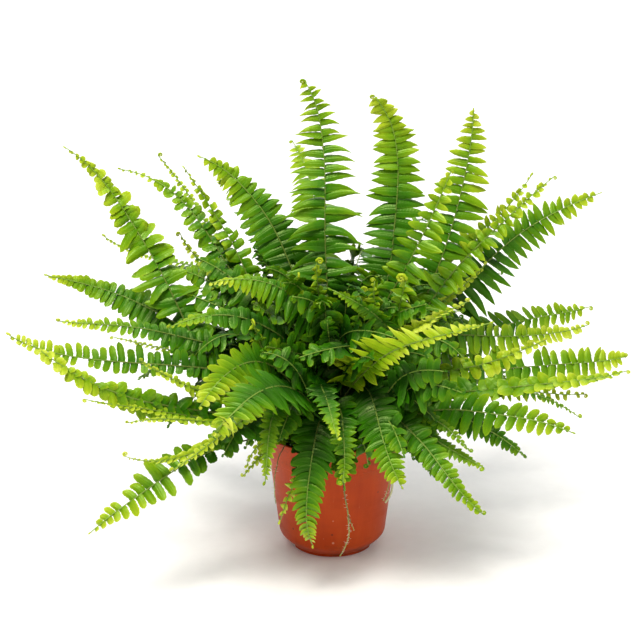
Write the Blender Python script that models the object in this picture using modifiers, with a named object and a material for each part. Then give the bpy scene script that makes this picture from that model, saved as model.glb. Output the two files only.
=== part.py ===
"""Potted Boston fern in a thin plastic nursery pot, with its soil, crown, runners and fronds.

Metres, +Z up. The origin is the middle of the pot's underside, on the surface that the pot stands on.
The plant's open front looks along -Y, and +X is its right-hand side.
"""

import math

import bmesh
import bpy
from mathutils import Vector

MM = 0.001
GAP = 0.3 * MM  # left between pieces that touch

# Pot
POT_HEIGHT = 109 * MM
POT_FOOT_RADIUS = 37 * MM
POT_CORNER_RADIUS = 47.4 * MM  # the wall starts here, above the sloping bottom corner
POT_CORNER_Z = 11.5 * MM
POT_WALL_SLOPE = 0.122  # growth in radius per unit of height
POT_WALL = 1.5 * MM
POT_RIM_PROUD = 0.8 * MM  # how far the rim stands out from the wall
POT_RIM_DEPTH = 4 * MM
POT_SHOULDER_Z = 85 * MM  # the wall steps out above this height, where the next pot of a stack rests
POT_SHOULDER_STEP = 0.5 * MM
POT_FLOOR_Z = 3.2 * MM  # underside of the raised part of the floor
POT_FLOOR = 1.8 * MM
POT_FOOT_WIDTH = 3.2 * MM
POT_BOSS_RADIUS = 13 * MM  # the middle of the floor comes down to the table
POT_STEPS = 56
DRAIN_HOLES = 6
DRAIN_RADIUS = 4.2 * MM
DRAIN_RING_RADIUS = 28 * MM
NOTCH_BEARINGS = (90, 198, 342)
NOTCH_RADIUS = 5.2 * MM

# Soil and crown
SOIL_TOP_Z = 96 * MM
CROWN_RADIUS = 39 * MM
CROWN_TOP_RADIUS = 36 * MM
CROWN_TOP_Z = 103 * MM
CROWN_STEPS = 40

# Fronds
STALK_RADIUS = 1.0 * MM
MIDRIB_HALF = 0.8 * MM  # half of the blade's thickness at its midrib
EDGE_HALF = 0.15 * MM
BASE_SHARE = 0.20  # a frond's foot lies this far out towards its first guide point
SEGMENTS = 17  # lofted lengths in one frond
BLADE_START = 0.30  # share of the frond's length that is bare stalk
CAD_WIDTH = 0.72  # the solid blade is the leaflets' span less their separate tips
TIP_HALF = 0.6 * MM

# Runners
RUNNER_RADIUS = 0.7 * MM
RUNNER_POINTS = 16

# Each frond: three guide points in millimetres (near, far and tip), the blade's full width in
# millimetres, and the way its upper face looks, in degrees: 0 towards -Y, 90 up, 180 towards +Y.
FRONDS = {
    # tall fronds in the middle
    "frond_tall_centre": ((-5, 10, 236), (-7, 20, 328), (-17, 10, 416), 60, 15),
    "frond_tall_right": ((49, 25, 247), (57, 40, 315), (42, 30, 398), 42, 15),
    "frond_upright_right": ((100, 30, 273), (117, 32, 343), (119, 22, 389), 42, 10),
    "frond_curled_right": ((57, -20, 255), (80, -25, 303), (97, -30, 347), 18, 80),
    "frond_tall_left": ((-34, 20, 248), (-67, 30, 306), (-109, 30, 349), 48, 20),
    "frond_curled_left": ((-83, 30, 257), (-111, 40, 307), (-129, 35, 336), 16, 60),
    # high fronds to the left
    "frond_high_left": ((-150, 5, 252), (-191, 20, 320), (-227, 10, 359), 42, 15),
    "frond_high_left_back": ((-105, 40, 270), (-147, 60, 312), (-188, 70, 326), 24, 30),
    "frond_far_left_back": ((-100, 115, 220), (-165, 140, 223), (-214, 140, 246), 12, 60),
    # level and low fronds to the left
    "frond_left_level": ((-100, 8, 180), (-169, 25, 215), (-250, 20, 243), 34, 40),
    "frond_left_narrow": ((-87, -26, 189), (-152, -48, 215), (-228, -60, 227), 20, 60),
    "frond_left_long": ((-88, -44, 178), (-186, -65, 193), (-267, -80, 222), 30, 40),
    "frond_left_broad": ((-115, -84, 157), (-191, -125, 196), (-240, -130, 232), 34, 30),
    "frond_left_curled": ((-53, -60, 148), (-109, -110, 132), (-169, -130, 135), 20, 80),
    "frond_left_low": ((-72, -78, 129), (-150, -125, 106), (-197, -150, 76), 28, 40),
    # high fronds to the right
    "frond_high_right": ((92, -10, 239), (141, -10, 297), (185, -10, 338), 26, 40),
    "frond_high_right_back": ((84, 50, 222), (140, 66, 275), (176, 66, 322), 24, 50),
    "frond_right_dark": ((106, 60, 208), (171, 90, 261), (243, 100, 297), 36, 40),
    # level and low fronds to the right
    "frond_right_back": ((95, 72, 161), (169, 92, 176), (239, 100, 189), 20, 60),
    "frond_right_level": ((86, 12, 187), (158, 25, 186), (228, 40, 191), 18, 60),
    "frond_right_long": ((99, 3, 157), (180, 15, 161), (260, 20, 168), 30, 50),
    "frond_right_folded": ((70, -48, 154), (147, -80, 176), (241, -90, 194), 20, 85),
    "frond_right_thin": ((96, -20, 150), (163, -25, 152), (213, -30, 130), 12, 60),
    "frond_right_sparse": ((102, 17, 146), (180, 38, 128), (228, 35, 127), 16, 60),
    "frond_right_low": ((68, -60, 144), (148, -110, 162), (193, -130, 155), 36, 40),
    "frond_right_drooping": ((74, -38, 136), (128, -70, 136), (159, -90, 118), 16, 50),
    # bright fronds arching towards the front
    "frond_front_left_bright": ((-39, -68, 180), (-71, -120, 212), (-106, -150, 185), 36, 50),
    "frond_front_left": ((-26, -95, 176), (-53, -142, 197), (-93, -170, 170), 38, 60),
    "frond_front_right_bright": ((19, -74, 181), (61, -130, 230), (122, -150, 255), 44, 30),
    "frond_middle_left_bright": ((-12, -30, 210), (-52, -50, 256), (-101, -60, 260), 26, 50),
    "frond_middle_right": ((50, -48, 201), (30, -80, 242), (-3, -90, 264), 30, 40),
    "frond_middle_left": ((-42, -50, 209), (-86, -88, 241), (-132, -110, 238), 26, 50),
    # fronds hanging down over the front of the pot
    "frond_hanging_front": ((-8, -66, 147), (-21, -114, 110), (-17, -115, 49), 36, 30),
    "frond_hanging_left": ((-42, -86, 165), (-46, -130, 167), (-52, -150, 124), 18, 40),
    "frond_hanging_middle": ((5, -94, 159), (9, -132, 149), (7, -150, 120), 20, 40),
    "frond_hanging_outer": ((-8, -109, 184), (-3, -150, 179), (3, -175, 168), 18, 60),
    "frond_hanging_right": ((31, -80, 166), (42, -120, 141), (55, -140, 112), 30, 40),
    "frond_hanging_far_right": ((40, -60, 153), (79, -120, 132), (120, -150, 93), 32, 45),
    "frond_low_right": ((52, -62, 140), (92, -95, 131), (122, -120, 121), 14, 50),
    # fronds that fill the back
    "frond_back_high_left": ((-45, 65, 240), (-80, 115, 295), (-110, 165, 305), 40, 140),
    "frond_back_high": ((-10, 60, 245), (-20, 110, 315), (-30, 165, 335), 42, 150),
    "frond_back_high_right": ((45, 60, 235), (75, 115, 285), (105, 165, 295), 40, 140),
    "frond_back_middle_left": ((-70, 80, 185), (-125, 145, 210), (-165, 195, 195), 36, 120),
    "frond_back_middle": ((15, 90, 190), (25, 155, 220), (35, 210, 210), 40, 130),
    "frond_back_middle_right": ((56, 88, 180), (115, 142, 205), (165, 185, 195), 36, 120),
    "frond_back_low_left": ((-85, 60, 145), (-145, 115, 135), (-185, 150, 100), 32, 100),
    "frond_back_low_centre_left": ((-35, 95, 145), (-60, 155, 135), (-75, 195, 90), 34, 110),
    "frond_back_low_centre_right": ((30, 95, 140), (50, 155, 125), (60, 190, 80), 34, 110),
    "frond_back_low_right": ((72, 78, 143), (130, 120, 130), (175, 145, 95), 32, 100),
    "frond_back_hanging": ((0, 85, 150), (0, 125, 100), (-5, 130, 50), 30, 150),
}

# Each runner: guide points in millimetres from the top of the crown over the rim and down.
RUNNERS = {
    "runner_front": ((3, -33.6, 103.75), (6, -60, 114), (9, -84, 89), (13, -86, 60), (6, -76, 20)),
    "runner_left": ((-21, -26.5, 103.65), (-40, -49, 114), (-47, -60, 101), (-50, -62, 81), (-49, -62, 63)),
    "runner_right": ((24, -24, 103.6), (40, -52, 114), (46, -64, 101), (48, -63, 85), (43, -63, 66)),
}


def clear_scene():
    for item in list(bpy.data.objects):
        bpy.data.objects.remove(item, do_unlink=True)


def new_collection(name):
    collection = bpy.data.collections.new(name)
    bpy.context.scene.collection.children.link(collection)
    return collection


def make_material(name, colour, roughness):
    material = bpy.data.materials.new(name)
    material.use_nodes = True
    shader = material.node_tree.nodes["Principled BSDF"]
    shader.inputs["Base Color"].default_value = (*colour, 1.0)
    shader.inputs["Roughness"].default_value = roughness
    shader.inputs["Metallic"].default_value = 0.0
    return material


def add_object(name, data, collection, material):
    item = bpy.data.objects.new(name, data)
    collection.objects.link(item)
    data.materials.append(material)
    return item


def turned(name, profile, steps, collection, material):
    """A solid of revolution about Z. The profile is a list of (radius, height)."""
    mesh = bpy.data.meshes.new(name)
    points = [(radius, 0.0, height) for radius, height in profile]
    edges = [(i, i + 1) for i in range(len(points) - 1)]
    mesh.from_pydata(points, edges, [])
    item = add_object(name, mesh, collection, material)
    screw = item.modifiers.new("Turn", "SCREW")
    screw.steps = steps
    screw.render_steps = steps
    screw.use_merge_vertices = True
    screw.merge_threshold = 0.00001
    screw.use_smooth_shade = True
    return item


def wall_radius(height):
    """Outer radius of the pot's wall, without the step above the shoulder."""
    return POT_CORNER_RADIUS + POT_WALL_SLOPE * (height - POT_CORNER_Z)


def pot_profile():
    """From the middle of the floor's top, up the inside, over the rim and down the outside."""
    floor_top = POT_FLOOR_Z + POT_FLOOR
    shoulder_top = POT_SHOULDER_Z + 1.0 * MM
    rim_bottom = POT_HEIGHT - POT_RIM_DEPTH
    rim_wall = wall_radius(POT_HEIGHT) + POT_SHOULDER_STEP
    rim_radius = rim_wall + POT_RIM_PROUD
    foot_inner = POT_FOOT_RADIUS - POT_FOOT_WIDTH
    corner_middle = (POT_FOOT_RADIUS + 6.0 * MM, 5.2 * MM)
    return [
        (0.0, floor_top),
        (POT_FOOT_RADIUS + 3.0 * MM, floor_top),
        (POT_CORNER_RADIUS - POT_WALL, POT_CORNER_Z + 0.5 * MM),
        (wall_radius(POT_SHOULDER_Z) - POT_WALL, POT_SHOULDER_Z),
        (wall_radius(shoulder_top) + POT_SHOULDER_STEP - POT_WALL, shoulder_top),
        (rim_wall - POT_WALL, POT_HEIGHT - 0.5 * MM),
        (rim_wall - POT_WALL + 0.5 * MM, POT_HEIGHT),
        (rim_radius - 0.7 * MM, POT_HEIGHT),
        (rim_radius, POT_HEIGHT - 0.7 * MM),
        (rim_radius - 0.2 * MM, rim_bottom + 0.6 * MM),
        (wall_radius(rim_bottom) + POT_SHOULDER_STEP, rim_bottom),
        (wall_radius(shoulder_top) + POT_SHOULDER_STEP, shoulder_top),
        (wall_radius(POT_SHOULDER_Z), POT_SHOULDER_Z),
        (POT_CORNER_RADIUS, POT_CORNER_Z),
        corner_middle,
        (POT_FOOT_RADIUS, 0.0),
        (foot_inner, 0.0),
        (foot_inner - 1.0 * MM, POT_FLOOR_Z),
        (POT_BOSS_RADIUS + 2.0 * MM, POT_FLOOR_Z),
        (POT_BOSS_RADIUS, 0.0),
        (0.0, 0.0),
    ]


def cutter_cylinder(name, radius, depth, location, rotation, collection):
    bpy.ops.mesh.primitive_cylinder_add(
        vertices=20, radius=radius, depth=depth, location=location, rotation=rotation
    )
    cutter = bpy.context.active_object
    cutter.name = name
    for owner in list(cutter.users_collection):
        owner.objects.unlink(cutter)
    collection.objects.link(cutter)
    cutter.hide_render = True
    cutter.display_type = "WIRE"
    return cutter


def cut(item, cutter):
    boolean = item.modifiers.new("Cut " + cutter.name, "BOOLEAN")
    boolean.operation = "DIFFERENCE"
    boolean.solver = "EXACT"
    boolean.object = cutter


def add_pot(parts, cutters):
    plastic = make_material("terracotta_plastic", (0.43, 0.075, 0.02), 0.45)
    pot = turned("pot", pot_profile(), POT_STEPS, parts, plastic)
    for i in range(DRAIN_HOLES):
        bearing = 2 * math.pi * i / DRAIN_HOLES
        location = (
            DRAIN_RING_RADIUS * math.cos(bearing),
            DRAIN_RING_RADIUS * math.sin(bearing),
            POT_FLOOR_Z,
        )
        hole = cutter_cylinder(f"drain_{i}", DRAIN_RADIUS, 12 * MM, location, (0, 0, 0), cutters)
        cut(pot, hole)
    for i, degrees in enumerate(NOTCH_BEARINGS):
        bearing = math.radians(degrees)
        location = (POT_FOOT_RADIUS * math.cos(bearing), POT_FOOT_RADIUS * math.sin(bearing), -0.4 * MM)
        rotation = (0, math.pi / 2, bearing)
        notch = cutter_cylinder(f"notch_{i}", NOTCH_RADIUS, 14 * MM, location, rotation, cutters)
        notch.scale = (0.75, 1.0, 1.0)
        cut(pot, notch)


def add_soil(parts):
    compost = make_material("potting_compost", (0.035, 0.02, 0.012), 0.95)
    bottom = POT_FLOOR_Z + POT_FLOOR + GAP
    shoulder_top = POT_SHOULDER_Z + 1.0 * MM
    inset = POT_WALL + GAP
    profile = [
        (0.0, SOIL_TOP_Z),
        (wall_radius(SOIL_TOP_Z) + POT_SHOULDER_STEP - inset, SOIL_TOP_Z),
        (wall_radius(shoulder_top) + POT_SHOULDER_STEP - inset, shoulder_top + GAP),
        (wall_radius(POT_SHOULDER_Z) - inset, POT_SHOULDER_Z),
        (POT_CORNER_RADIUS - inset, POT_CORNER_Z + 0.7 * MM),
        (POT_FOOT_RADIUS + 2.8 * MM, bottom),
        (0.0, bottom),
    ]
    turned("soil", profile, POT_STEPS, parts, compost)


def add_crown(parts):
    scaly = make_material("crown_rhizome", (0.09, 0.05, 0.02), 0.9)
    bottom = SOIL_TOP_Z + GAP
    profile = [
        (0.0, CROWN_TOP_Z),
        (CROWN_TOP_RADIUS, CROWN_TOP_Z),
        (CROWN_RADIUS, CROWN_TOP_Z - 2.5 * MM),
        (CROWN_RADIUS + 0.5 * MM, bottom),
        (0.0, bottom),
    ]
    turned("crown", profile, CROWN_STEPS, parts, scaly)


def through_points(points, share):
    """A smooth curve through the points, spaced by the distance between them; share runs 0 to 1."""
    knots = [0.0]
    for start, end in zip(points, points[1:]):
        knots.append(knots[-1] + (end - start).length)
    place = share * knots[-1]
    result = Vector((0, 0, 0))
    for i, point in enumerate(points):
        weight = 1.0
        for j, knot in enumerate(knots):
            if j != i:
                weight *= (place - knot) / (knots[i] - knot)
        result += point * weight
    return result


def frond_guide(near, far, tip):
    """The guide points in metres, led by the frond's foot on the crown."""
    near, far, tip = (Vector(point) * MM for point in (near, far, tip))
    foot = Vector((near.x, near.y, 0)) * BASE_SHARE
    reach = CROWN_TOP_RADIUS - 4 * MM
    if foot.length > reach:
        foot *= reach / foot.length
    foot.z = CROWN_TOP_Z + GAP
    return [foot, near, far, tip]


def blade_half_width(share, index, width):
    """Half of the blade's width: bare stalk, then a toothed blade that narrows to the tip."""
    if share <= BLADE_START:
        return STALK_RADIUS
    along = (share - BLADE_START) / (1 - BLADE_START)
    outline = min(1.0, along / 0.22) * min(1.0, (1.05 - along) / 0.45) ** 0.8
    tooth = 1.0 if index % 2 == 0 else 0.74
    half = 0.5 * width * CAD_WIDTH * outline * tooth
    return max(half, TIP_HALF)


def section(centre, side, normal, half_width, half_thick):
    """Six corners of a flat section, thick at the midrib and thin at both edges."""
    edge = min(EDGE_HALF, 0.5 * half_thick)
    return [
        centre + side * half_width + normal * edge,
        centre + normal * half_thick,
        centre - side * half_width + normal * edge,
        centre - side * half_width - normal * edge,
        centre - normal * half_thick,
        centre + side * half_width - normal * edge,
    ]


def frond_mesh(name, near, far, tip, width, look):
    """A loft of flat sections along the frond's curve."""
    guide = frond_guide(near, far, tip)
    face = Vector((0, -math.cos(math.radians(look)), math.sin(math.radians(look))))
    across = (guide[-1] - guide[0]).cross(face)
    shape = bmesh.new()
    rings = []
    for index in range(SEGMENTS + 1):
        share = index / SEGMENTS
        centre = through_points(guide, share)
        along = (through_points(guide, share + 0.005) - through_points(guide, share - 0.005)).normalized()
        side = (across - along * across.dot(along)).normalized()
        normal = side.cross(along).normalized()
        if index == 0:
            side = Vector((side.x, side.y, 0)).normalized()
            normal = side.cross(Vector((0, 0, 1)))
        half_width = blade_half_width(share, index, width * MM)
        half_thick = STALK_RADIUS if share <= BLADE_START else MIDRIB_HALF
        if index == SEGMENTS:
            half_thick = 0.4 * MM
        corners = section(centre, side, normal, half_width, half_thick)
        rings.append([shape.verts.new(corner) for corner in corners])
    for lower, upper in zip(rings, rings[1:]):
        count = len(lower)
        for i in range(count):
            j = (i + 1) % count
            shape.faces.new((lower[i], lower[j], upper[j], upper[i]))
    shape.faces.new(rings[0])
    shape.faces.new(list(reversed(rings[-1])))
    bmesh.ops.triangulate(shape, faces=shape.faces[:])
    bmesh.ops.recalc_face_normals(shape, faces=shape.faces[:])
    mesh = bpy.data.meshes.new(name)
    shape.to_mesh(mesh)
    shape.free()
    return mesh


def add_fronds(parts):
    for name, (near, far, tip, width, look) in FRONDS.items():
        leaf = make_material(name + "_leaf", (0.06, 0.17, 0.02), 0.5)
        add_object(name, frond_mesh(name, near, far, tip, width, look), parts, leaf)


def add_runners(parts):
    """Thin runners that leave the crown, pass over the rim and hang outside the pot."""
    for name, points in RUNNERS.items():
        guide = [Vector(point) * MM for point in points]
        green = make_material(name + "_stem", (0.16, 0.2, 0.06), 0.6)
        curve = bpy.data.curves.new(name, "CURVE")
        curve.dimensions = "3D"
        curve.bevel_depth = RUNNER_RADIUS
        curve.bevel_resolution = 1
        curve.use_fill_caps = True
        spline = curve.splines.new("POLY")
        spline.points.add(RUNNER_POINTS - 1)
        for i, point in enumerate(spline.points):
            place = through_points(guide, i / (RUNNER_POINTS - 1))
            point.co = (*place, 1.0)
        add_object(name, curve, parts, green)


def main():
    clear_scene()
    parts = new_collection("potted_boston_fern")
    cutters = new_collection("cutters")
    add_pot(parts, cutters)
    add_soil(parts)
    add_crown(parts)
    add_runners(parts)
    add_fronds(parts)


main()
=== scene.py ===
"""Looks of a potted Boston fern: arching fronds of separate leaflets, a scuffed terracotta-coloured
plastic pot, compost, crown and runners, on a plain pale floor under soft studio light.

Metres, +Z up. The pot stands on z = 0. The open front of the plant looks along -Y.
"""

import math

import bmesh
import bpy
import numpy as np
from mathutils import Matrix, Vector, noise


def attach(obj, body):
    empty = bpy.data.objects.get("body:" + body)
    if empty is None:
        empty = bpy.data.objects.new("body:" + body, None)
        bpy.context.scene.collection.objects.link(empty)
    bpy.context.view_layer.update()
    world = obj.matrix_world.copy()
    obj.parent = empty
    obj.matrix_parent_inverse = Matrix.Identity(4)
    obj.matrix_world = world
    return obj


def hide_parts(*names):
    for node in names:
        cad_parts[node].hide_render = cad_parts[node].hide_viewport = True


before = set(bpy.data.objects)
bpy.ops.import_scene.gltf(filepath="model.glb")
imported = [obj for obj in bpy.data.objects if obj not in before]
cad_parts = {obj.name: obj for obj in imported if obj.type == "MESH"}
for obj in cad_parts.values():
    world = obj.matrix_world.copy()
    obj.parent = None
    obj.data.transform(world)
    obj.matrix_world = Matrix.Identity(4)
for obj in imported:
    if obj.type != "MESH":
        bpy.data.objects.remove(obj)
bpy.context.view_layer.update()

MM = 0.001

# Camera
CAMERA_ELEVATION = 18  # degrees above the horizon
CAMERA_DISTANCE = 1.5
CAMERA_TARGET = (-0.011, 0.0, 0.2085)
CAMERA_LENS = 97.36  # millimetres, on a 36 mm sensor

# Studio: each lamp's place, the point that it looks at, its side in metres, its watts and its colour
WARM = (1.0, 0.96, 0.88)
WHITE = (1.0, 1.0, 1.0)
LAMPS = dict(
    key=((-0.6, -1.1, 2.5), (0, 0, 0.2), 1.1, 86, WARM),
    fill=((1.7, -1.0, 1.5), (0, 0, 0.2), 1.8, 11, WARM),
    backdrop=((0, 3.0, 2.6), (0, 3.0, 0), 4.0, 110, WHITE),
)
WORLD_STRENGTH = 0.27
FLOOR_REACH = 30.0  # from its middle to each side
FLOOR_GLOW = 0.05

# Pot
POT_HEIGHT = 109 * MM
POT_FOOT_RADIUS = 36.5 * MM
POT_FOOT_STEP = 2.6 * MM
POT_CORNER_RADIUS = 47.2 * MM
POT_CORNER_Z = 12 * MM
POT_WALL_SLOPE = 0.122
POT_WALL = 1.5 * MM
POT_RIM_PROUD = 0.8 * MM
POT_RIM_DEPTH = 4 * MM
POT_SHOULDER_Z = 85 * MM
POT_SHOULDER_TOP_Z = 86 * MM
POT_SHOULDER_STEP = 0.5 * MM
POT_FLOOR_Z = 3.2 * MM
POT_FLOOR = 1.8 * MM
POT_FOOT_WIDTH = 3.2 * MM
POT_BOSS_RADIUS = 13 * MM
POT_STEPS = 160
POT_CREASE = 38  # degrees, above which an edge of the pot is sharp
DRAIN_HOLES = 6
DRAIN_RADIUS = 4.2 * MM
DRAIN_RING_RADIUS = 22.5 * MM
DRAIN_TURN = 0.013  # radians, so that no corner of a hole meets a corner of the pot
NOTCH_BEARINGS = (90.7, 198, 342)
NOTCH_RADIUS = 5.2 * MM
NOTCH_Z = -0.4 * MM

# Soil and crown
SOIL_TOP_Z = 96 * MM
CROWN_RADIUS = 39 * MM
CROWN_TOP_RADIUS = 36 * MM
CROWN_TOP_Z = 103 * MM
GAP = 0.3 * MM
CRUMBS = 620
LEAF_BASES = 90
SCALES = 420
HEAP_CREASE = 40  # degrees, above which an edge of the soil or crown is sharp

# Fronds
BASE_SHARE = 0.20  # a frond's foot lies this far out towards its first guide point
STALK_RADIUS = 0.80 * MM
STALK_TIP_RADIUS = 0.42 * MM
TUBE_SIDES = 6
FINE_LEAFLET = (9, 4)  # faces along and across one leaflet
COARSE_LEAFLET = (7, 2)  # the same, on old and thin fronds
LEAF_THICK = 0.22 * MM
CURVE_SAMPLES = 240
STALK_RINGS = 46
SWAY = 5 * MM  # how far a frond wanders aside on its way
TIP_SHARE = 0.12  # the last part of a frond, which turns aside where it bends
SHORTEST_LEAFLET = 2.2 * MM
NARROWEST_LEAFLET = 1.8 * MM
LOST_LEAFLETS = 0.015  # share of the leaflets that are missing
LAST_LEAFLET = 0.992  # no leaflet leaves a frond beyond this share of its length
TIP_LEAN = 30  # degrees by which leaflets lean forward more and more, from LEAN_FROM up the blade
LEAN_FROM = 0.6
SHINGLE = 17  # degrees by which a leaflet's front edge dips, so that neighbours overlap like tiles
CURL = 0.04  # how far a leaflet's tip bends down, over its length
CUP = 0.42  # how far its edges bend down, over half its breadth
RIPPLE = 0.07  # height of its wavy edge, over half its breadth
RIPPLE_WAVES = 2.3
COIL_TURNS = 1.5
COIL_RINGS = 26

# Runners
RUNNER_RINGS = 48
HAIR_RINGS = 5
STRAW_RINGS = 24

# How much these differ by chance: one standard deviation, in the same units as the values above
SPREAD = dict(
    place=0.0020, length=0.07, fold=7, sweep=5, shingle=9, hook=0.06, sag=0.10, curl=0.08, cup=0.16)

# Starting numbers of the chance draws
FROND_SEED = 100
YOUNG_SEED = 200
UNROLLING_SEED = 250
INNER_SEED = 300
SOIL_SEED = 31
CROWN_SEED = 37
RUNNER_SEED = 41

# How a frond grows, unless its kind or the frond itself says otherwise.
PLAIN_GROWTH = {
    "spacing": 8.2,  # millimetres between leaflets on one side
    "breadth": 1.0,  # a leaflet's greatest breadth over that spacing
    "bare": 0.20,  # share of the frond's length below its first leaflets
    "fold": 2,  # degrees by which both rows of leaflets lift
    "sag": 0.26,  # how far a leaflet's tip hangs down, over its length
    "sweep": 4,  # degrees by which leaflets lean towards the frond's tip, more near that tip
    "skew": 0,  # degrees by which one row leans forward and the other back
    "hook": 0.04,  # how far a leaflet's tip bends towards the frond's tip, over its length
    "young": (0.10, 0.85),  # age at the blade's foot and tip: 0 old and dark, also painted shade, 1 young and lime
    "ripen": 2.2,  # how late along the blade it turns young; the dark foot is also painted shade
    "blunt": 0.25,  # 1 for round-ended leaflets, 0 for long pointed ones
    "taper": 0.45,  # share of the blade over which the leaflets shorten towards its tip
    "point": 0.55,  # 0.4 for a blade that ends bluntly, 1.5 for one with a long thin tip
    "slim": 0.0,  # how much narrower the leaflets are near the blade's tip
    "uneven": 0.0,  # how much shorter one row is than the other
    "bend": 0,  # millimetres by which the frond's last part turns aside
    "coil": 1.7,  # radius of the rolled tip in millimetres
    "mesh": FINE_LEAFLET,
    "crowd": 0.62,  # spacing at the tip over spacing lower down
    "wild": 1.0,  # how much one leaflet differs from the next
}
KINDS = {
    "plain": {},
    "oblong": dict(breadth=0.92, blunt=0.80, sag=0.14, young=(0.12, 0.92)),
    "separate": dict(breadth=0.66, blunt=0.70, sag=0.12, spacing=8.8, young=(0.08, 0.85)),
    "lime": dict(breadth=0.86, blunt=0.80, sag=0.16, young=(0.42, 0.95), ripen=1.2),
    "broad": dict(breadth=0.98, blunt=0.80, sag=0.34, spacing=9.4, wild=1.5),
    "fingers": dict(breadth=0.88, blunt=0.45, sag=0.5, young=(0.25, 0.95), sweep=12),
    "folded": dict(breadth=1.1, blunt=0.7, fold=48, sweep=34, young=(0.5, 1.0), ripen=1.0),
    "thin": dict(
        breadth=0.8, blunt=0.7, fold=15, spacing=6.4, young=(0.4, 0.92), ripen=1.2,
        mesh=COARSE_LEAFLET),
    "unrolling": dict(
        breadth=0.7, blunt=0.2, fold=20, spacing=7.5, young=(0.35, 0.9), bare=0.66, sweep=24,
        taper=0.3, coil=2.4, wild=2.0),
    # old fronds: dark green, partly their own colour and partly painted shade at the back and in the
    # heart of the plant
    "old": dict(
        breadth=0.98, blunt=0.85, sag=0.20, young=(0.0, 0.38), ripen=2.8, wild=1.7,
        mesh=COARSE_LEAFLET),
}


def grown(near, far, tip, width, look, kind="plain", **changes):
    """One frond: three guide points in millimetres, from its foot to its tip, the blade's full width
    in millimetres, the way its upper face looks, in degrees (0 towards -Y, 90 up, 180 towards +Y),
    its kind, and where it grows unlike its kind."""
    return near, far, tip, width, look, {**PLAIN_GROWTH, **KINDS[kind], **changes}


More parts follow.
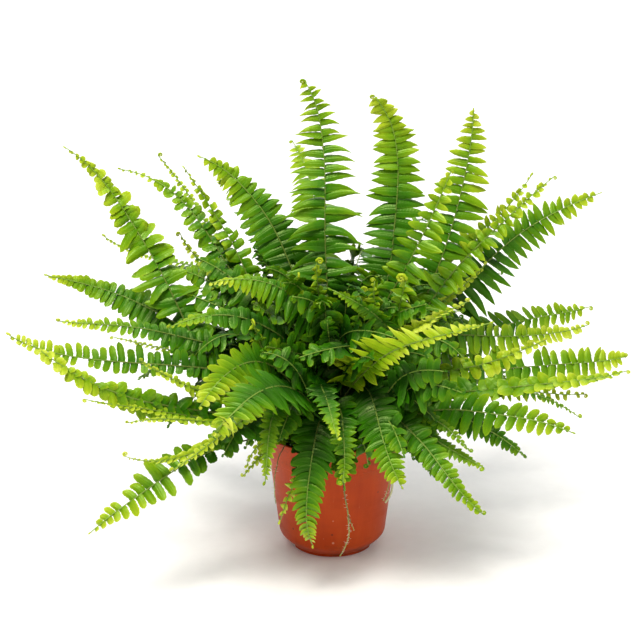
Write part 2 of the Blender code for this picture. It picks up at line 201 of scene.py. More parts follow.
FRONDS = dict(
    # tall fronds in the middle
    frond_tall_centre=grown((-5, 10, 236), (-7, 20, 328), (-17, 10, 416), 76, 15, blunt=0.15,
        breadth=1.12, spacing=9.2, young=(0.22, 0.80), point=0.6, slim=0.35, sag=0.34, sweep=10, bend=-7),
    frond_tall_right=grown((49, 25, 247), (57, 40, 315), (42, 30, 398), 56, 15, breadth=1.25, spacing=7.8,
        young=(0.14, 0.90), ripen=2.6, taper=0.4, point=0.42, sag=0.2, bend=-7, wild=0.7),
    frond_upright_right=grown((100, 30, 273), (117, 32, 343), (119, 22, 389), 54, 10, "lime", blunt=0.45,
        young=(0.16, 0.92), ripen=1.6, spacing=8.8, sag=0.2, breadth=1.12, taper=0.35, point=0.65,
        slim=0.3, wild=0.8),
    frond_curled_right=grown((57, -20, 255), (80, -25, 303), (97, -30, 347), 42, 35, "lime", fold=14,
        blunt=0.5, spacing=10.2, breadth=0.72, young=(0.28, 0.75), point=0.6, bare=0.35),
    frond_tall_left=grown((-34, 20, 248), (-67, 30, 306), (-109, 30, 349), 52, 20, blunt=0.3,
        breadth=1.25, spacing=7.4, young=(0.05, 0.86), ripen=2.8, point=0.6, wild=0.8, bend=-6),
    frond_curled_left=grown((-83, 30, 257), (-111, 40, 307), (-129, 35, 336), 32, 40, "oblong", fold=25,
        young=(0.30, 0.86), spacing=9.5, breadth=0.95, blunt=0.95, taper=0.6, point=0.9, wild=1.6),
    # high fronds to the left
    frond_high_left=grown((-150, 5, 252), (-191, 20, 320), (-227, 10, 359), 48, 20, "broad",
        young=(0.16, 0.95), taper=0.5, point=1.0, ripen=1.5, breadth=1.3, spacing=7.2, wild=1.6,
        sag=0.22),
    frond_high_left_back=grown((-105, 40, 270), (-147, 60, 312), (-188, 70, 326), 34, 25, "oblong",
        taper=0.5, point=1.0, young=(0.12, 0.84), blunt=0.7, breadth=1.1, ripen=1.8, wild=1.5),
    frond_far_left_back=grown((-100, 115, 220), (-165, 140, 223), (-214, 140, 246), 30, 50, "thin",
        point=1.3, taper=0.6, young=(0.2, 0.9)),
    # level and low fronds to the left
    frond_left_level=grown((-100, 8, 180), (-169, 25, 215), (-250, 20, 243), 46, 35, "oblong",
        spacing=7.2, breadth=1.3, young=(0.04, 0.88), ripen=2.6, point=0.75, taper=0.6, wild=0.7),
    frond_left_narrow=grown((-87, -26, 189), (-152, -48, 215), (-228, -60, 227), 24, 50, "separate",
        spacing=6.6, breadth=0.9, young=(0.0, 0.95), ripen=2.4, sweep=14),
    frond_left_long=grown((-88, -44, 178), (-186, -65, 193), (-267, -80, 222), 26, 35, "separate",
        spacing=7.6, breadth=0.82, young=(0.05, 1.0), ripen=1.8, taper=0.4, point=0.5, blunt=0.95,
        uneven=-0.25),
    frond_left_broad=grown((-115, -84, 157), (-191, -125, 196), (-240, -130, 232), 28, 30, "broad",
        young=(0.05, 0.95), ripen=1.3, sag=0.1, sweep=-36, spacing=8.6, breadth=1.1, point=0.5,
        uneven=0.1, wild=1.4),
    frond_left_curled=grown((-53, -60, 148), (-109, -110, 132), (-169, -130, 135), 34, 70, "folded",
        fold=36, young=(0.35, 0.98), breadth=1.3, spacing=7.0, point=0.9, taper=0.8),
    frond_left_low=grown((-72, -78, 129), (-150, -125, 106), (-197, -150, 76), 38, 35, "separate",
        breadth=0.90, young=(0.28, 0.95), ripen=1.2, blunt=0.85, taper=0.6, point=0.7, bare=0.5,
        uneven=-0.1),
    # high fronds to the right
    frond_high_right=grown((92, -10, 239), (141, -10, 297), (185, -10, 338), 38, 30, "lime", fold=12,
        young=(0.25, 0.85), wild=1.8, breadth=0.85, blunt=0.45, point=0.7, taper=0.6, spacing=9.0),
    frond_high_right_back=grown((84, 50, 222), (140, 66, 275), (176, 66, 322), 38, 35, "lime", fold=12,
        wild=1.8, breadth=0.85, young=(0.25, 0.85), blunt=0.45, point=0.7, taper=0.6, spacing=9.0),
    frond_right_dark=grown((106, 60, 208), (171, 90, 261), (243, 100, 297), 64, 20, "separate",
        spacing=9.0, breadth=1.05, young=(0.06, 0.85), blunt=0.4, sag=0.10, taper=0.6, point=0.7,
        hook=0.0, sweep=10),
    # level and low fronds to the right
    frond_right_back=grown((95, 72, 161), (169, 92, 176), (239, 100, 189), 46, 30, "separate",
        young=(0.14, 0.78), taper=0.5, sweep=-26, breadth=0.9, spacing=8.2),
    frond_right_level=grown((86, 12, 187), (158, 25, 186), (228, 40, 191), 34, 35, "oblong",
        young=(0.20, 0.95), ripen=1.4, breadth=1.1, taper=0.5, spacing=7.2, wild=0.9),
    frond_right_long=grown((99, 3, 157), (180, 15, 161), (260, 20, 168), 46, 30, "separate",
        young=(0.30, 0.85), ripen=1.8, breadth=1.08, taper=0.35, spacing=8.0, sweep=-4, blunt=0.6),
    frond_right_folded=grown((70, -48, 154), (147, -80, 176), (241, -90, 194), 28, 60, "folded",
        young=(0.15, 0.92), ripen=1.3, spacing=8.6, fold=36, sweep=-36, breadth=1.35, point=0.5,
        blunt=0.45),
    frond_right_thin=grown((96, -20, 150), (163, -25, 152), (213, -30, 130), 20, 50, spacing=6.2,
        taper=0.8, young=(0.05, 0.75)),
    frond_right_sparse=grown((102, 17, 146), (180, 38, 128), (228, 35, 127), 26, 40, "separate",
        young=(0.2, 0.95), ripen=1.0),
    frond_right_low=grown((68, -60, 144), (148, -110, 162), (193, -130, 155), 40, 30, "separate",
        spacing=10.4, breadth=0.80, young=(0.06, 0.78), ripen=1.5, taper=0.5, skew=-22, point=0.6,
        sag=0.05),
    frond_right_drooping=grown((74, -38, 136), (128, -70, 136), (159, -90, 118), 28, 45,
        young=(0.02, 0.5), spacing=6.4, blunt=0.6),
    # bright fronds arching towards the front
    frond_front_left_bright=grown((-39, -68, 180), (-71, -120, 212), (-106, -150, 185), 38, 35, "fingers",
        young=(0.12, 0.86), ripen=1.1, sag=0.04, sweep=2, skew=26, spacing=5.8, breadth=1.1, blunt=0.75,
        bare=0.56, point=0.5, wild=0.7),
    frond_front_left=grown((-26, -95, 176), (-53, -142, 197), (-93, -170, 170), 48, 45, "fingers",
        young=(0.03, 0.72), ripen=1.8, sag=0.14, sweep=4, skew=24, spacing=5.8, breadth=1.05, blunt=0.55,
        bare=0.44, point=0.5, coil=2.0, wild=0.8),
    frond_front_right_bright=grown((19, -74, 181), (61, -130, 230), (122, -150, 255), 80, 30, "fingers",
        young=(0.55, 0.92), ripen=1.0, sag=0.03, blunt=0.4, breadth=0.85, taper=0.85, point=1.2, skew=44,
        sweep=-6, uneven=0.45, bare=0.34, spacing=7.2, hook=0.0),
    frond_middle_left_bright=grown((-12, -30, 210), (-52, -50, 256), (-101, -60, 260), 44, 55, "fingers",
        young=(0.02, 1.0), ripen=3.2, sag=0.55, sweep=8, breadth=1.1, blunt=0.4, point=0.8, spacing=6.6),
    frond_middle_right=grown((50, -48, 201), (30, -80, 242), (-3, -90, 264), 26, 40, young=(0.12, 0.55),
        fold=18, spacing=5.6, breadth=1.2, sag=0.1),
    frond_middle_left=grown((-42, -50, 209), (-86, -88, 241), (-132, -110, 238), 32, 50,
        young=(0.04, 0.8), ripen=4.0, breadth=1.2, blunt=0.7, spacing=7.0, point=0.8),
    # fronds hanging down over the front of the pot
    frond_hanging_front=grown((-8, -66, 147), (-21, -114, 110), (-17, -115, 49), 44, 25,
        young=(0.0, 0.90), ripen=2.8, blunt=0.65, breadth=1.2, spacing=6.8, sag=0.1, bare=0.1, taper=0.6,
        point=0.6, hook=0.2, sweep=6, wild=0.8),
    frond_hanging_left=grown((-44, -90, 168), (-50, -132, 163), (-55, -148, 120), 30, 35, breadth=1.3,
        spacing=5.6, young=(0.15, 0.7), bare=0.1, sag=0.1, taper=0.6),
    frond_hanging_middle=grown((5, -94, 159), (9, -132, 149), (7, -150, 120), 30, 35, breadth=1.15,
        spacing=5.8, young=(0.0, 0.72), ripen=3.4, bare=0.1, sag=0.1, point=0.5),
    frond_hanging_outer=grown((-8, -109, 184), (-3, -150, 179), (3, -175, 168), 32, 40, young=(0.0, 0.95),
        spacing=5.8, bare=0.3, breadth=1.1, sag=0.1, ripen=4.5, taper=0.7),
    frond_hanging_right=grown((31, -80, 166), (42, -120, 141), (55, -140, 112), 44, 30, young=(0.0, 0.85),
        blunt=0.5, spacing=6.2, ripen=3.8, bare=0.1, breadth=1.1, sag=0.1, hook=0.14, point=0.5,
        wild=0.8),
    frond_hanging_far_right=grown((40, -60, 153), (79, -120, 132), (120, -150, 93), 36, 40,
        young=(0.10, 0.80), spacing=6.6, taper=0.7, blunt=0.85, breadth=0.98, sag=0.08, sweep=16),
    frond_low_right=grown((52, -62, 140), (92, -95, 131), (122, -120, 121), 22, 45, young=(0.15, 0.7),
        spacing=6.0, breadth=1.1),
    # fronds that fill the back, dark old green that is also painted shade
    frond_back_high_left=grown((-45, 65, 240), (-80, 115, 290), (-106, 160, 294), 40, 60, "old",
        young=(0.15, 0.7)),
    frond_back_high=grown((-10, 60, 245), (-22, 100, 312), (-36, 130, 338), 54, 20, young=(0.3, 0.78),
        breadth=1.3),
    frond_back_high_right=grown((45, 60, 235), (74, 112, 262), (98, 158, 262), 40, 60, "old",
        young=(0.15, 0.6)),
    frond_back_middle_left=grown((-70, 80, 185), (-125, 145, 210), (-165, 195, 195), 42, 85, "old"),
    frond_back_middle=grown((15, 90, 190), (25, 155, 220), (35, 210, 210), 44, 80, "old"),
    frond_back_middle_right=grown((56, 88, 180), (115, 142, 205), (165, 185, 195), 42, 85, "old"),
    frond_back_low_left=grown((-85, 60, 145), (-145, 115, 135), (-185, 150, 100), 38, 100, "old"),
    frond_back_low_centre_left=grown((-35, 95, 145), (-60, 155, 135), (-75, 195, 90), 38, 110, "old"),
    frond_back_low_centre_right=grown((30, 95, 140), (50, 155, 125), (60, 190, 80), 38, 110, "old"),
    frond_back_low_right=grown((72, 78, 143), (130, 120, 130), (175, 145, 95), 38, 100, "old"),
    frond_back_hanging=grown((0, 85, 150), (0, 125, 100), (-5, 130, 50), 34, 150, "old"),
)

# Young and thin fronds that are too slight for a solid of their own.
YOUNG_FRONDS = dict(
    young_high_left=grown((-119, 90, 279), (-137, 100, 305), (-156, 100, 331), 14, 30, "thin",
        young=(0.25, 0.85)),
    young_left=grown((-83, 70, 215), (-116, 90, 232), (-138, 90, 262), 20, 40, "thin"),
    young_left_level=grown((-84, 60, 141), (-153, 80, 155), (-203, 90, 163), 12, 60, "thin"),
    young_left_curled=grown((-87, -50, 154), (-126, -90, 184), (-156, -110, 210), 16, 50, "thin"),
    young_left_low=grown((-87, -60, 139), (-149, -110, 167), (-199, -130, 184), 12, 60, "thin"),
    young_left_short=grown((-70, -60, 130), (-117, -100, 155), (-167, -120, 160), 12, 60, "thin"),
    young_left_strip=grown((-59, -85, 162), (-96, -120, 145), (-130, -140, 127), 16, 60, "thin"),
    young_right_short=grown((57, -60, 148), (88, -100, 151), (111, -120, 135), 18, 50, "thin",
        young=(0.1, 0.6)),
    young_right=grown((96, -34, 172), (140, -48, 190), (177, -60, 211), 26, 40, "lime", wild=2.0,
        spacing=9.5),
    young_right_high=grown((80, 0, 213), (106, 5, 232), (132, 5, 258), 16, 60, "thin", breadth=1.2),
    young_centre=grown((59, -70, 218), (78, -100, 241), (107, -110, 260), 24, 55, "folded"),
    young_sprig=grown((-59, -100, 126), (-69, -110, 116), (-74, -112, 110), 14, 40, "thin"),
    young_sprig_left=grown((-54, -95, 135), (-64, -108, 133), (-71, -112, 119), 14, 40, "thin"),
    young_front=grown((-16, -80, 118), (-37, -112, 90), (-44, -118, 72), 17, 40, young=(0.5, 0.95),
        ripen=1.0, spacing=7.5, breadth=0.7, wild=2.0, coil=2.2, fold=20),
    bud_front_left=grown((-30, -98, 176), (-58, -146, 194), (-94, -172, 172), 26, 30, "lime", bare=0.93,
        spacing=4.0, young=(0.95, 1.0), taper=1.2, point=0.3, sweep=-8, blunt=0.1, breadth=0.8, wild=3.0),
    shaded_upper_left=grown((-60, -5, 225), (-90, 5, 248), (-118, 10, 262), 40, 40, "old", bare=0.35,
        young=(0.0, 0.5)),
    shaded_side_left=grown((-70, 0, 212), (-102, 10, 238), (-134, 15, 250), 38, 45, "old", bare=0.35,
        young=(0.05, 0.6)),
    shaded_gap_left=grown((-70, -10, 205), (-98, -5, 222), (-128, 5, 232), 38, 45, "old", bare=0.35),
    shaded_below_left=grown((-50, -75, 150), (-78, -100, 148), (-103, -120, 138), 38, 50, "old",
        bare=0.4),
    shaded_left=grown((15, -70, 209), (-3, -95, 215), (-29, -110, 212), 34, 60, "old", bare=0.5,
        sweep=20),
    shaded_low_left=grown((-27, -95, 192), (-39, -105, 209), (-58, -110, 217), 34, 50, "old", bare=0.5),
    shaded_right=grown((43, -75, 167), (62, -105, 197), (90, -120, 204), 46, 35, "old", bare=0.4),
    shaded_centre=grown((-3, -40, 213), (-13, -62, 242), (-34, -75, 253), 40, 50, "old", bare=0.5,
        sag=0.4),
    shaded_middle=grown((10, -60, 215), (23, -80, 226), (50, -95, 224), 36, 50, "old", bare=0.5, sag=0.3),
    shaded_low_right=grown((55, -80, 169), (74, -110, 189), (103, -125, 188), 36, 40, "old", bare=0.4),
)

# Fronds that are still unrolling: a pale coil over a few small leaflets.
UNROLLING_FRONDS = dict(
    centre=grown((52, -40, 204), (56, -52, 239), (60, -58, 262), 28, 30, "unrolling", coil=3.4),
    middle_right=grown((48, -50, 216), (35, -62, 242), (34, -66, 264), 24, 30, "unrolling", spacing=5.0),
    left=grown((-24, -30, 218), (-29, -42, 244), (-29, -46, 263), 16, 30, "unrolling"),
    far_left=grown((-59, -70, 209), (-64, -82, 227), (-66, -86, 236), 16, 30, "unrolling", coil=2.6),
    middle=grown((-9, -25, 226), (-13, -40, 255), (-14, -44, 274), 18, 30, "unrolling"),
    right=grown((19, -55, 218), (22, -66, 247), (23, -70, 258), 18, 30, "unrolling"),
)

# Rings of short old fronds in the heart of the plant, their dark green also painted shade: how many, then
# the ranges of radius and height in millimetres at each of their three guide points, and their width.
INNER_RINGS = dict(
    inner_skirt=(22, ((48, 58), (124, 138)), ((72, 86), (120, 138)), ((86, 108), (90, 118)), 30),
    inner_low=(26, ((46, 62), (140, 165)), ((80, 106), (150, 182)), ((108, 145), (120, 180)), 36),
    inner_middle=(20, ((36, 50), (165, 205)), ((66, 96), (195, 240)), ((88, 128), (190, 250)), 38),
    inner_upper=(18, ((28, 46), (195, 225)), ((50, 86), (225, 262)), ((70, 115), (228, 268)), 38),
)

# Each runner's stems: guide points in millimetres, its radius in millimetres, where its root hairs
# start along it, how many there are and how long they are in millimetres. They lead from the top of
# the crown over the rim and down; the second one in front leaves the first.
RUNNERS = dict(
    runner_front=(
        (((3, -33.6, 103.75), (6, -60, 114), (9, -84, 89), (13, -86, 60), (6, -76, 20)),
         0.72, 0.45, 90, 2.4),
        (((12, -85.5, 66), (15, -87, 57), (18, -86, 49)), 0.50, 0.50, 4, 1.5),
    ),
    runner_left=(
        (((-21, -26.5, 103.65), (-40, -49, 114), (-47, -60, 101), (-50, -62, 81), (-49, -62, 63)),
         0.55, 0.55, 46, 2.2),
    ),
    runner_right=(
        (((24, -24, 103.6), (40, -52, 114), (46, -64, 101), (48, -63, 85), (43, -63, 66)),
         0.50, 0.86, 16, 2.6),
    ),
)
STRAW_GUIDE = ((27, -26, 104), (45, -58, 104), (51, -62.5, 84), (45, -62.5, 64))
STRAW_RADIUS = 0.9 * MM

# Colour ramps: (place in the range, linear colour). Leaves and stems go from old to young; the leaves'
# dark old end is also painted shade.
LEAF_AGES = (
    (0.00, (0.003, 0.040, 0.0002)),
    (0.30, (0.029, 0.145, 0.0002)),
    (0.60, (0.136, 0.282, 0.0008)),
    (0.85, (0.330, 0.450, 0.0100)),
    (1.00, (0.490, 0.590, 0.0550)),
)
STALKS = ((0.0, (0.06, 0.035, 0.010)), (0.4, (0.08, 0.12, 0.014)), (1.0, (0.20, 0.35, 0.04)))
PLASTIC = ((0.30, (0.42, 0.040, 0.001)), (0.52, (0.49, 0.052, 0.002)), (0.75, (0.54, 0.072, 0.005)))
COMPOST = ((0.3, (0.012, 0.007, 0.004)), (0.55, (0.045, 0.026, 0.014)), (0.8, (0.13, 0.085, 0.045)))
ROOTSTOCK = ((0.3, (0.030, 0.014, 0.006)), (0.55, (0.10, 0.055, 0.020)), (0.8, (0.20, 0.13, 0.055)))
RUNNER = (
    (0.0, (0.11, 0.12, 0.03)),
    (0.4, (0.17, 0.11, 0.045)),
    (0.7, (0.22, 0.25, 0.05)),
    (1.0, (0.36, 0.40, 0.10)),
)
# dark smears low on the pot: dirt, and also painted shade by the hanging fronds
DIRT_AND_SHADE = (0.11, 0.03, 0.012)
# soil splashed high on the pot, also painted shadow of the leaves over it
SOIL_SPLASH_AND_LEAF_SHADOW = (0.10, 0.04, 0.016)
DARK_SPECK = (0.05, 0.02, 0.01)
PALE_SPECK = (0.72, 0.40, 0.27)
SCUFF = (0.66, 0.27, 0.15)
STALK_FUZZ = (0.26, 0.28, 0.10)
COMPOST_FIBRE = (0.16, 0.10, 0.05)
ROOTSTOCK_FIBRE = (0.26, 0.17, 0.08)
ROOT_HAIR = (0.74, 0.66, 0.52)
PALE_VEIN = (1.40, 1.22, 1.5)  # times the green around it
PALE_UNDERSIDE = (1.18, 1.0, 1.6)
LEAF_SHINE = (0.74, 1.0, 0.34)


def unit(vectors):
    """The vectors at length one."""
    return vectors / np.maximum(np.linalg.norm(vectors, axis=-1, keepdims=True), 1e-12)


def travelled(places):
    """How far each place lies along the line through them all."""
    steps = np.linalg.norm(np.diff(places, axis=0), axis=1)
    return np.concatenate([[0.0], np.cumsum(steps)])


def between(at, known, values):
    """The values, known at some shares, read off at others."""
    return np.stack([np.interp(at, known, values[:, k]) for k in range(3)], -1)


def through_points(points, shares):
    """Places on a smooth curve through the points, spaced by the distance between them."""
    points = np.asarray(points, float)
    knots = travelled(points)
    at = np.asarray(shares) * knots[-1]
    result = np.zeros((len(at), 3))
    for i, point in enumerate(points):
        weight = np.ones(len(at))
        for j, knot in enumerate(knots):
            if j != i:
                weight *= (at - knot) / (knots[i] - knot)
        result += weight[:, None] * point
    return result


def turned_about(vectors, axes, angles):
    """Each vector turned about its own axis, a unit vector at right angles to it."""
    return vectors * np.cos(angles)[..., None] + np.cross(axes, vectors) * np.sin(angles)[..., None]


def polar(reach, bearing):
    """x and y at that reach and bearing, in radians, from the middle of the pot."""
    return reach * math.cos(bearing), reach * math.sin(bearing)


def new_object(name, data):
    """An object of the scene made of the data."""
    item = bpy.data.objects.new(name, data)
    bpy.context.scene.collection.objects.link(item)
    return item


def form_mesh(form, name):
    """The form turned into a mesh."""
    mesh = bpy.data.meshes.new(name)
    form.to_mesh(mesh)
    form.free()
    return mesh


def add_piece(name, mesh):
    """An object of the plant, in its place."""
    item = new_object(name, mesh)
    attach(item, "root")
    return item


def frond_guide(near, far, tip):
    """The guide points in metres, led by the frond's foot on the crown."""
    near, far, tip = (np.array(point, float) * MM for point in (near, far, tip))
    foot = np.array([near[0], near[1], 0.0]) * BASE_SHARE
    foot *= min(1.0, (CROWN_TOP_RADIUS - 4 * MM) / np.linalg.norm(foot))
    foot[2] = CROWN_TOP_Z + GAP
    return [foot, near, far, tip]


class Stem:
    """A frond's midrib: evenly spaced places with their along, side and normal directions."""

    def __init__(self, guide, look, bend, rng):
        rough = through_points(guide, np.linspace(0, 1, CURVE_SAMPLES))
        reached = travelled(rough)
        self.length = reached[-1]
        self.share = np.linspace(0, 1, CURVE_SAMPLES)
        face = np.array([0.0, -math.cos(math.radians(look)), math.sin(math.radians(look))])
        across = unit(np.cross(guide[-1] - guide[0], face))
        waves = rng.uniform(1.2, 2.2)
        phase = rng.uniform(0, 2 * math.pi)
        sway = np.sin(2 * np.pi * waves * self.share + phase) * self.share * (1 - self.share)
        turned = bend * np.clip((self.share - 1) / TIP_SHARE + 1, 0, 1) ** 2
        self.places = between(self.share * self.length, reached, rough)
        self.places += across[None] * (SWAY * sway + turned)[:, None]
        self.along = unit(np.gradient(self.places, axis=0))
        self.side = unit(across[None] - self.along * (self.along @ across)[:, None])
        self.normal = np.cross(self.side, self.along)

    def at(self, shares):
        """Places and their along, side and normal directions."""
        place = between(shares, self.share, self.places)
        kinds = (self.along, self.side, self.normal)
        return (place, *(unit(between(shares, self.share, directions)) for directions in kinds))


class Shell:
    """The vertices and four-sided faces of one mesh, with the values that its material reads.

    leaf holds, for each vertex, its share along its leaflet, its place across it from -1 to 1, and
    its age. tone holds a chance shade and whether this is a stalk. rim tells which vertices lie on
    a leaflet's sharp edge, and under which faces look down. spots and cells say where each face lies
    in the colour map: a leaflet's upper skin, its underside and a stalk each have a cell of their own.
    """

    def __init__(self):
        labels = ("points", "faces", "leaf", "tone", "rim", "under", "spots", "cells")
        self.gathered = {label: [] for label in labels}
        self.vertex_count = 0
        self.cell_count = 0

    def add(self, points, faces, cells, **values):
        values.update(points=points, faces=faces + self.vertex_count, cells=cells + self.cell_count)
        for label, value in values.items():
            self.gathered[label].append(value)
        self.vertex_count += len(points)
        self.cell_count += int(cells.max()) + 1

    def colour_map(self, spots, cells):
        """Each cell's spots in a square of its own, row by row."""
        columns = math.ceil(math.sqrt(self.cell_count * 0.45))
        rows = math.ceil(self.cell_count / columns)
        corner = np.stack([cells % columns, cells // columns], -1)[:, None, :]
        return (corner + 0.06 + 0.88 * spots) / (columns, rows)

    def piece(self, name, material, slot):
        """One object made of everything gathered here."""
        values = {label: np.concatenate(parts) for label, parts in self.gathered.items()}
        mesh = bpy.data.meshes.new(name)
        mesh.from_pydata(values["points"].tolist(), [], values["faces"].tolist())
        mesh.shade_smooth()
        ends = np.empty(len(mesh.edges) * 2, np.int32)
        mesh.edges.foreach_get("vertices", ends)
        sharp = mesh.attributes.new("sharp_edge", "BOOLEAN", "EDGE")
        sharp.data.foreach_set("value", values["rim"][ends.reshape(-1, 2)].all(1))
        under = mesh.attributes.new("under", "FLOAT", "FACE")
        under.data.foreach_set("value", values["under"].astype(np.float32))
        for label in ("leaf", "tone"):
            layer = mesh.attributes.new(label, "FLOAT_VECTOR", "POINT")
            layer.data.foreach_set("vector", values[label].astype(np.float32).ravel())
        spots = self.colour_map(values["spots"], values["cells"]).astype(np.float32)
        mesh.uv_layers.new(name="OFBake").uv.foreach_set("vector", spots.ravel())
        mesh.materials.append(material)
        return add_piece(name, mesh)


def quads(rows, columns):
    """The four-sided faces between the rows and columns of a grid that is numbered row by row."""
    grid = np.arange(rows * columns).reshape(rows, columns)
    corners = (grid[:-1, :-1], grid[1:, :-1], grid[1:, 1:], grid[:-1, 1:])
    return np.stack(corners, -1).reshape(-1, 4)


def leaflet_pattern(steps, bands):
    """One leaflet's vertices and faces: an upper and a lower skin that share their rim."""
    rows = steps + 1
    columns = bands + 1
    inside = np.zeros((rows, columns), bool)
    inside[1:-1, 1:-1] = True
    inside = inside.ravel()
    lower = np.arange(rows * columns)
    lower[inside] = rows * columns + np.arange(inside.sum())
    top = quads(rows, columns)
    bottom = lower[top][:, ::-1]
    u = np.repeat(np.linspace(0, 1, rows), columns)
    v = np.tile(np.linspace(-1, 1, columns), rows)
    u, v = (np.concatenate([values, values[inside]]) for values in (u, v))
    low = np.repeat([False, True], [rows * columns, inside.sum()])
    rim = np.concatenate([~inside, np.zeros(inside.sum(), bool)])
    under = np.repeat([0.0, 1.0], len(top))
    return u, v, rim, low, np.concatenate([top, bottom]), under


LEAFLETS = {pattern: leaflet_pattern(*pattern) for pattern in (FINE_LEAFLET, COARSE_LEAFLET)}


def leaflet_outline(u, v, blunt, steps):
    """Half of a leaflet's breadth at u, on the side of v, over its greatest half breadth."""
    shoulder = 0.16 + 0.46 * blunt
    narrowing = np.clip((u - shoulder) / (1 - shoulder), 0, 1)
    outline = (1 - narrowing ** (1.25 + 1.3 * blunt)) ** (1.05 - 0.55 * blunt)
    neck = 0.86 + 0.14 * np.clip(u / 0.06, 0, 1)
    ear = 0.22 * np.exp(-(((u - 0.10) / 0.09) ** 2)) * (v > 0)
    heel = 0.04 * np.exp(-(((u - 0.04) / 0.08) ** 2)) * (v < 0)
    tooth = np.where(np.round(u * steps) % 2 == 0, 1.045, 0.955)
    return np.maximum((outline * neck + ear - heel) * tooth, 0.05)


def add_leaflets(shell, stem, sign, shares, lengths, breadths, ages, growth, rng):
    """One row of leaflets down one side of the midrib, each with chance differences."""
    u, v, rim, low, faces, under = LEAFLETS[growth["mesh"]]
    count = len(shares)
    wild = growth["wild"]

    def varied(trait, middle):
        """That trait of each leaflet, around the middle."""
        return (middle + rng.normal(0, SPREAD[trait] * wild, count))[:, None]

    place, along, side, normal = stem.at(shares)
    lift = np.radians(varied("fold", growth["fold"]))[:, 0]
    blade = (shares - growth["bare"]) / (1 - growth["bare"])
    lean = growth["sweep"] + sign * growth["skew"] + TIP_LEAN * np.clip(blade - LEAN_FROM, 0, 1)
    sweep = np.radians(varied("sweep", lean))
    shingle = np.radians(varied("shingle", SHINGLE))
    outward = turned_about(side * sign, along * sign, -lift)
    raised = turned_about(normal, along * sign, -lift)
    out = outward * np.cos(sweep) + along * np.sin(sweep)
    fore = along * np.cos(sweep) - outward * np.sin(sweep)
    wide = fore * np.cos(shingle) - raised * np.sin(shingle)
    up = raised * np.cos(shingle) + fore * np.sin(shingle)

    length = lengths[:, None]
    half = 0.5 * breadths[:, None] * leaflet_outline(u, v, growth["blunt"], growth["mesh"][0])
    hook = varied("hook", growth["hook"])
    sag = np.maximum(varied("sag", growth["sag"]), -0.05)
    curl = varied("curl", CURL)
    cup = varied("cup", CUP)
    ripple = rng.uniform(0, 2 * np.pi, count)[:, None]
    x = length * (u - 0.30 * np.abs(sag) * u**3) - 0.4 * MM
    y = v * half + hook * length * u**2
    z = -cup * half * v**2 - curl * length * u**2 - 0.12 * half * np.exp(-((v / 0.3) ** 2))
    z = z + RIPPLE * wild * half * np.abs(v) * np.sin(2 * np.pi * RIPPLE_WAVES * u + ripple)
    z = z + 0.3 * STALK_RADIUS - np.where(low, LEAF_THICK, 0.0)
    points = place[:, None] + out[:, None] * x[..., None] + wide[:, None] * y[..., None]
    points = points + up[:, None] * z[..., None]
    points[..., 2] -= sag * length * u**2

    numbers = np.arange(count)
    all_faces = (faces + (numbers * len(u))[:, None, None]).reshape(-1, 4)
    spots = np.tile(np.stack([u[faces], (v[faces] + 1) / 2], -1), (count, 1, 1))
    if sign < 0:
        all_faces = all_faces[:, ::-1]
        spots = spots[:, ::-1]
    shade, age = (np.repeat(values, len(u)) for values in (rng.normal(0, 1, count), ages))
    none = np.zeros(len(shade))
    shell.add(
        points=points.reshape(-1, 3),
        faces=all_faces,
        cells=np.repeat(numbers * 2, len(faces)) + np.tile(under, count).astype(int),
        leaf=np.stack([np.tile(u, count), np.tile(v, count), age], 1),
        tone=np.stack([shade, none, none], 1),
        rim=np.tile(rim, count),
        under=np.tile(under, count),
        spots=spots,
    )


def add_tube(shell, places, radii, ages, stalk):
    """A closed tube along the places, with the radii and ages given for each of them."""
    steps = len(places)
    along = unit(np.gradient(places, axis=0))
    side = np.array([0.0, -1.0, 0.3]) if abs(along[0][1]) < 0.9 else np.array([1.0, 0.0, 0.3])
    sides = []
    for direction in along:
        side = unit(side - direction * (side @ direction))
        sides.append(side)
    normals = np.cross(sides, along)
    turn = 2 * np.pi * np.arange(TUBE_SIDES)[:, None] / TUBE_SIDES
    around = np.array(sides)[:, None] * np.cos(turn) + normals[:, None] * np.sin(turn)
    points = (places[:, None] + np.reshape(radii, (-1, 1, 1)) * around).reshape(-1, 3)
    row, column = np.divmod(quads(steps, TUBE_SIDES + 1), TUBE_SIDES + 1)
    walls = row * TUBE_SIDES + column % TUBE_SIDES
    first = np.arange(TUBE_SIDES)
    last = len(points) - 1 - first
    caps = [end[list(order)] for end in (first, last) for order in ((0, 1, 2, 3), (0, 3, 4, 5))]
    wall_spots = np.stack([row / (steps - 1), column / TUBE_SIDES], -1)
    cap_spots = np.tile(np.array([[0.0, 0], [1, 0], [1, 1], [0, 1]]), (len(caps), 1, 1))
    share, age = (np.repeat(values, TUBE_SIDES) for values in (np.linspace(0, 1, steps), ages))
    none = np.zeros(len(points))
    shell.add(
        points=points,
        faces=np.concatenate([walls, caps]),
        cells=np.concatenate([np.zeros(len(walls), int), 1 + np.arange(len(caps))]),
        leaf=np.stack([share, none, age], 1),
        tone=np.stack([none, none + stalk, none], 1),
        rim=np.zeros(len(points), bool),
        under=np.zeros(len(walls) + len(caps)),
        spots=np.concatenate([wall_spots, cap_spots]),
    )


def add_coil(shell, start, along, inward, radius, age):
    """A rolled tip, thick and knobbly: a flat spiral that leaves start and rolls inward."""
    inward = unit(inward - along * (inward @ along))
    share = np.linspace(0, 1, COIL_RINGS)
    angle = 2 * np.pi * COIL_TURNS * share[:, None]
    reach = radius * (1 - 0.86 * share)[:, None]
    places = start + inward * radius + reach * (along * np.sin(angle) - inward * np.cos(angle))
    radii = radius * (0.40 - 0.16 * share) * (1 + 0.18 * np.sin(share * 60))
    add_tube(shell, places, radii, np.full(COIL_RINGS, age), stalk=0.0)


